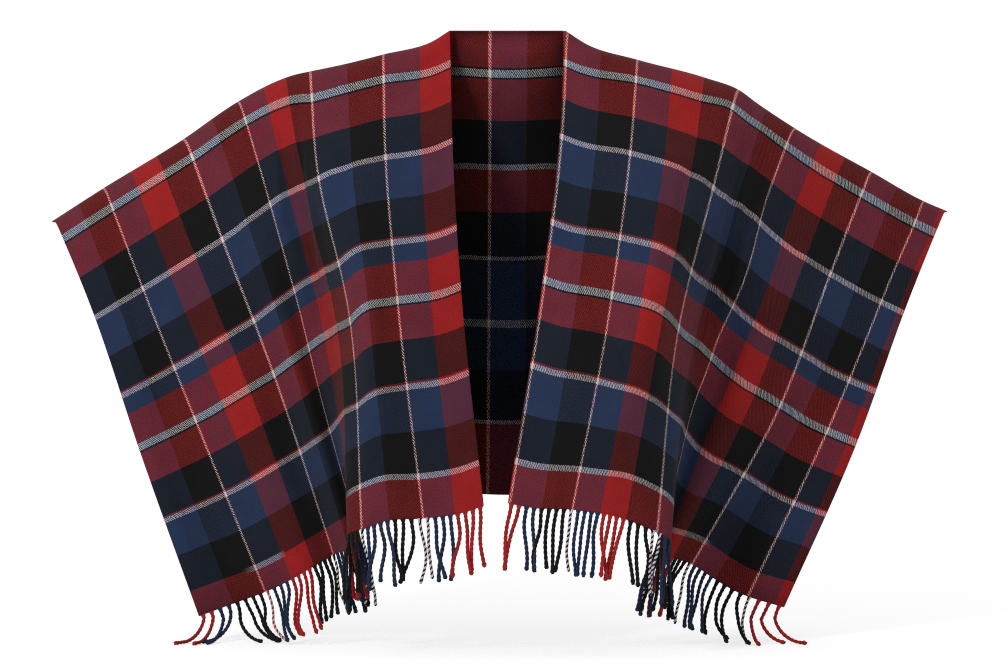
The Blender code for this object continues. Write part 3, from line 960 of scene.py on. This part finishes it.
def strand_mesh(shape, layer, colour_layer, points, side, twist, yarns):
    """Two plies wound round the route, flat and spread where they leave the hem."""
    count = len(points)
    for ply in (0, 1):
        rings = []
        travelled = 0.0
        for i, point in enumerate(points):
            way = (points[min(i + 1, count - 1)] - points[max(i - 1, 0)]).normalized()
            across = (side - way * side.dot(way)).normalized()
            facing = way.cross(across)
            if i:
                travelled += (point - points[i - 1]).length
            angle = twist.turn * ease(travelled / ARCH - WIND_START)
            angle += 2 * math.pi * max(0.0, travelled - ARCH) / twist.pitch + ply * math.pi
            apart, wide, thick = ply_shape(travelled, twist)
            centre = point + (across * math.cos(angle) + facing * math.sin(angle)) * apart
            ring = []
            for k in range(STRAND_SIDES):
                around = 2 * math.pi * k / STRAND_SIDES
                aside = across * math.cos(around) * wide
                ring.append(shape.verts.new(centre + aside + facing * math.sin(around) * thick))
                ring[-1][colour_layer] = (*yarns[ply], 1)
            rings.append((ring, travelled))
        for (ring, low), (after, high) in zip(rings, rings[1:]):
            for k in range(STRAND_SIDES):
                m = (k + 1) % STRAND_SIDES
                face = shape.faces.new([ring[k], after[k], after[m], ring[m]])
                face.smooth = True
                spots = [(k, low), (k, high), (k + 1, high), (k + 1, low)]
                for loop, (u, v) in zip(face.loops, spots):
                    loop[layer].uv = (u / STRAND_SIDES, v)
        shape.faces.new(rings[0][0])
        shape.faces.new(rings[-1][0][::-1])


def make_fringe(context, side, crests, hangs, folds, lies, material):
    """One front's fringe, strand by strand along its hem."""
    sizes, colours = context.scene.cape_sizes, palette(context)
    outward = 1 if crests[-1].x > 0 else -1
    phase = RIGHT_PHASE if outward > 0 else LEFT_PHASE
    width = crests[-1].across
    count = round(width / STRAND_SPACING)
    rng = random.Random(STRAND_SEED + (outward > 0))
    shape = bmesh.new()
    layer = shape.loops.layers.uv.new("strand")
    colour_layer = shape.verts.layers.float_color.new("yarn")
    places = (np.arange(count) + 0.5) * width / count
    rows = np.array((1 - LAST_PART, 1.0))
    ends = front_points(crests, hangs, folds, places, rows)
    beside = front_points(crests, hangs, folds, places + BESIDE, rows)
    knots = [row.across for row in lies]
    leans = np.interp(places, knots, [row.lean for row in lies])
    slides = np.interp(places, knots, [row.slide for row in lies])
    for i, place in enumerate(places):
        hem, along = Vector(ends[i, 1]), Vector(ends[i, 1] - ends[i, 0]).normalized()
        across = Vector(beside[i, 1] - ends[i, 1]).normalized()
        cloth = outward * place + phase
        near = [yarn_at(cloth + shift) for shift in NEAR_WARP]
        if "white" in near:
            yarns = ["pale", near[0] if near[0] != "white" else near[-1]]
            ply, pitch = sizes.ply * FINE_PLY, sizes.pitch * FINE_PITCH
        else:
            yarns = [near[len(near) // 2]] * 2
            ply, pitch = sizes.ply, sizes.pitch
        tones = [tuple(c * YARN_SHADE[yarn] * rng.uniform(*TONES) for c in colours[yarn])
                 for yarn in yarns]
        length = sizes.strand * rng.uniform(*LENGTHS)
        bends = [Bend(rng.uniform(*BEND_SIZES), rng.uniform(0, 2 * math.pi),
                      rng.uniform(*BEND_TURNS)) for _ in range(2)]
        lean = leans[i] + rng.gauss(0, LEAN_SPREAD)
        slide = (slides[i] + rng.gauss(0, SLIDE_SPREAD), rng.uniform(*SLIDE_FORWARD), 0)
        root, radius = hem - along * ROOT_DEPTH, ply * (1 + PLY_APART)
        route = strand_route(root, along, length, radius, across, bends, lean, slide)
        twist = Twist(ply, pitch, length, rng.uniform(0, math.pi))
        strand_mesh(shape, layer, colour_layer, route, across, twist, tones)
    bmesh.ops.recalc_face_normals(shape, faces=shape.faces)
    mesh = bpy.data.meshes.new("fringe_" + side)
    shape.to_mesh(mesh)
    shape.free()
    mesh.materials.append(material)
    piece = bpy.data.objects.new("strands_" + side, mesh)
    context.scene.collection.objects.link(piece)
    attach(piece, "root")
    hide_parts("fringe_" + side)
    return piece


# The operators.

LEFT = ("left", LEFT_CREST, LEFT_FRONT, LEFT_FRONT_FOLDS, LEFT_CREASES, LEFT_SWAYS, LEFT_WEFT)
RIGHT = ("right", RIGHT_CREST, RIGHT_FRONT, RIGHT_FRONT_FOLDS, RIGHT_CREASES, RIGHT_SWAYS,
         RIGHT_WEFT)


class CAPE_OT_back(bpy.types.Operator):
    """Makes the cape's back"""

    bl_idname = "cape.back"
    bl_label = "Back"

    def execute(self, context):
        colours = palette(context)
        wool = plaid(colours, "plaid wool of the back", BACK_WEFT, False, BACK_PAINTED_SHADE_REACH)
        make_back(context, wool)
        return {"FINISHED"}


class CAPE_OT_fronts(bpy.types.Operator):
    """Makes both fronts and their fringes"""

    bl_idname = "cape.fronts"
    bl_label = "Fronts and fringes"

    def execute(self, context):
        wool = plaid(palette(context), "plaid wool of the fronts", WEFT, True, FRONT_PAINTED_SHADE_REACH)
        yarn = yarn_material("fringe wool")
        left, right = (LEFT, LEFT_LAST_BAND, LEFT_LIES), (RIGHT, RIGHT_LAST_BAND, RIGHT_LIES)
        for form, bands, lies in (left, right):
            front = make_front(context, *form, bands, wool)
            fringe = make_fringe(context, *form[:4], lies, yarn)
        return {"FINISHED"}


class CAPE_OT_stage(bpy.types.Operator):
    """Makes the floor, the lights and the camera"""

    bl_idname = "cape.stage"
    bl_label = "Stage"

    def execute(self, context):
        scene = context.scene
        make_floor(context)
        for light in LIGHTS:
            make_light(context, light)
        world = bpy.data.worlds.new("studio")
        scene.world = world
        world.use_nodes = True
        tree = world.node_tree
        seen = add(tree, "LightPath").outputs["Is Camera Ray"]
        background = tree.nodes["Background"]
        background.inputs["Color"].default_value = (1, 1, 1, 1)
        strength = maths(tree, "MULTIPLY_ADD", seen, 1 - WORLD_LIGHT, WORLD_LIGHT)
        tree.links.new(strength, background.inputs["Strength"])
        camera = bpy.data.objects.new("camera", bpy.data.cameras.new("camera"))
        scene.collection.objects.link(camera)
        camera.location = CAMERA
        camera.rotation_euler = (math.pi / 2, 0, 0)
        camera.data.lens = CAMERA_LENS
        camera.data.clip_end = CAMERA_REACH
        scene.camera = camera
        scene.view_settings.view_transform = "Standard"
        scene.cycles.use_denoising = False
        scene.cycles.filter_width = PIXEL_FILTER
        return {"FINISHED"}


def make_floor(context):
    """A pale floor without an edge in sight."""
    half, level = FLOOR_HALF, FLOOR - FLOOR_GAP
    sides = ((-half, -half), (half, -half), (half, half), (-half, half))
    mesh = bpy.data.meshes.new("floor")
    mesh.from_pydata([(x, y, level) for x, y in sides], [], [(0, 1, 2, 3)])
    material, tree, shader = new_material("studio floor")
    place = add(tree, "TexCoord").outputs["Object"]
    speck = add(tree, "TexNoise", {"Vector": place, "Scale": SPECK_SCALE}).outputs["Fac"]
    tone = maths(tree, "MULTIPLY_ADD", speck, SPECK_TONE, SPECK_BASE)
    pale = tuple(context.scene.cape_colours.floor)
    colour = add(tree, "VectorMath", {0: pale, "Scale": tone}, operation="SCALE").outputs[0]
    surface(tree, shader, colour, FLOOR_FINISH)
    seen = add(tree, "LightPath").outputs["Is Camera Ray"]
    glow = maths(tree, "MULTIPLY", seen, FLOOR_GLOW)
    tree.links.new(glow, shader.inputs["Emission Strength"])
    mesh.materials.append(material)
    floor = bpy.data.objects.new("floor", mesh)
    context.scene.collection.objects.link(floor)


def make_light(context, row):
    """A round lamp, aimed at a height on the cape's middle line."""
    lamp = bpy.data.lights.new(row.name, "AREA")
    lamp.shape, lamp.size, lamp.energy = "DISK", row.size, row.power
    light = bpy.data.objects.new(row.name, lamp)
    context.scene.collection.objects.link(light)
    light.location = (row.x, row.y, row.z)
    light.visible_camera = False
    aim = Vector((0, 0, row.aim_z)) - light.location
    light.rotation_euler = aim.to_track_quat("-Z", "Y").to_euler()


class CAPE_PT_panel(bpy.types.Panel):
    bl_label = "Cape"
    bl_idname = "CAPE_PT_panel"
    bl_space_type = "VIEW_3D"
    bl_region_type = "UI"
    bl_category = "Cape"

    def draw(self, context):
        layout = self.layout
        scene = context.scene
        for group, kind in ((scene.cape_sizes, CapeSizes), (scene.cape_colours, CapeColours)):
            for name in kind.__annotations__:
                layout.prop(group, name)
        for operator in (CAPE_OT_stage, CAPE_OT_back, CAPE_OT_fronts):
            layout.operator(operator.bl_idname)


CLASSES = (CapeSizes, CapeColours, CAPE_OT_stage, CAPE_OT_back, CAPE_OT_fronts, CAPE_PT_panel)


def register():
    for item in CLASSES:
        bpy.utils.register_class(item)
    bpy.types.Scene.cape_sizes = bpy.props.PointerProperty(type=CapeSizes)
    bpy.types.Scene.cape_colours = bpy.props.PointerProperty(type=CapeColours)


def unregister():
    del bpy.types.Scene.cape_colours
    del bpy.types.Scene.cape_sizes
    for item in reversed(CLASSES):
        bpy.utils.unregister_class(item)


def main():
    register()
    bpy.ops.object.select_all(action="DESELECT")
    bpy.ops.cape.stage()
    bpy.ops.cape.back()
    bpy.ops.cape.fronts()
    bpy.context.view_layer.update()


if __name__ == "__main__":
    main()
